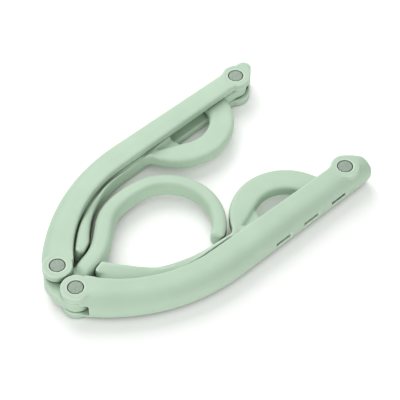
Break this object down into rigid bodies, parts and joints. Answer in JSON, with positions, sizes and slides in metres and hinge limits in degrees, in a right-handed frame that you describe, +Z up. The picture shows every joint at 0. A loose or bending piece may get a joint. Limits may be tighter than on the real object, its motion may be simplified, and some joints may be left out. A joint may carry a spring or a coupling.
{
  "type": "folding travel hanger",
  "caption": "Compact folding clothes hanger: channel-shaped arms pivot on a flat hub with an open hook, and each arm holds a swinging half trouser bar with a D-shaped loop.",
  "frame": {"origin": "on the surface that the hanger lies on, below the middle of the folded hanger's bounding box", "axes": "+Z up through the thickness, +Y from the hub along the folded hanger past the hook, +X across it from the left arm to the right arm"},
  "size_m": [0.0808, 0.128, 0.0122],
  "materials": {
    "hook": "matte moulded, pale mint green",
    "arm": "matte moulded, pale mint green",
    "bar": "matte moulded, pale mint green",
    "pin": "matte, grey green"
  },
  "bodies": {
    "hook": {"hook_hub": "hook", "left_hub_pin": "pin", "left_hub_pin_cap": "pin", "right_hub_pin": "pin", "right_hub_pin_cap": "pin"},
    "left_arm": {"left_arm": "arm", "left_tip_pin": "pin", "left_tip_pin_cap": "pin"},
    "right_arm": {"right_arm": "arm", "right_tip_pin": "pin", "right_tip_pin_cap": "pin"},
    "left_bar": {"left_bar": "bar"},
    "right_bar": {"right_bar": "bar"}
  },
  "joints": [
    {"name": "left_arm_hinge", "type": "hinge", "parent": "hook", "child": "left_arm", "pos_m": [0.00257, -0.05689, 0.0061], "axis": [0, 0, 1], "range_deg": [0, 101]},
    {"name": "right_arm_hinge", "type": "hinge", "parent": "hook", "child": "right_arm", "pos_m": [0.01433, -0.05689, 0.0061], "axis": [0, 0, -1], "range_deg": [0, 113]},
    {"name": "left_bar_hinge", "type": "hinge", "parent": "left_arm", "child": "left_bar", "pos_m": [-0.03334, 0.0492, 0.0061], "axis": [0, 0, 1], "range_deg": [0, 30]},
    {"name": "right_bar_hinge", "type": "hinge", "parent": "right_arm", "child": "right_bar", "pos_m": [0.02739, 0.05434, 0.0061], "axis": [0, 0, -1], "range_deg": [0, 30]}
  ],
  "couplings": [
    {"joint": "left_bar_hinge", "follows": "left_arm_hinge", "ratio": 0.11},
    {"joint": "right_bar_hinge", "follows": "right_arm_hinge", "ratio": 0.12}
  ]
}
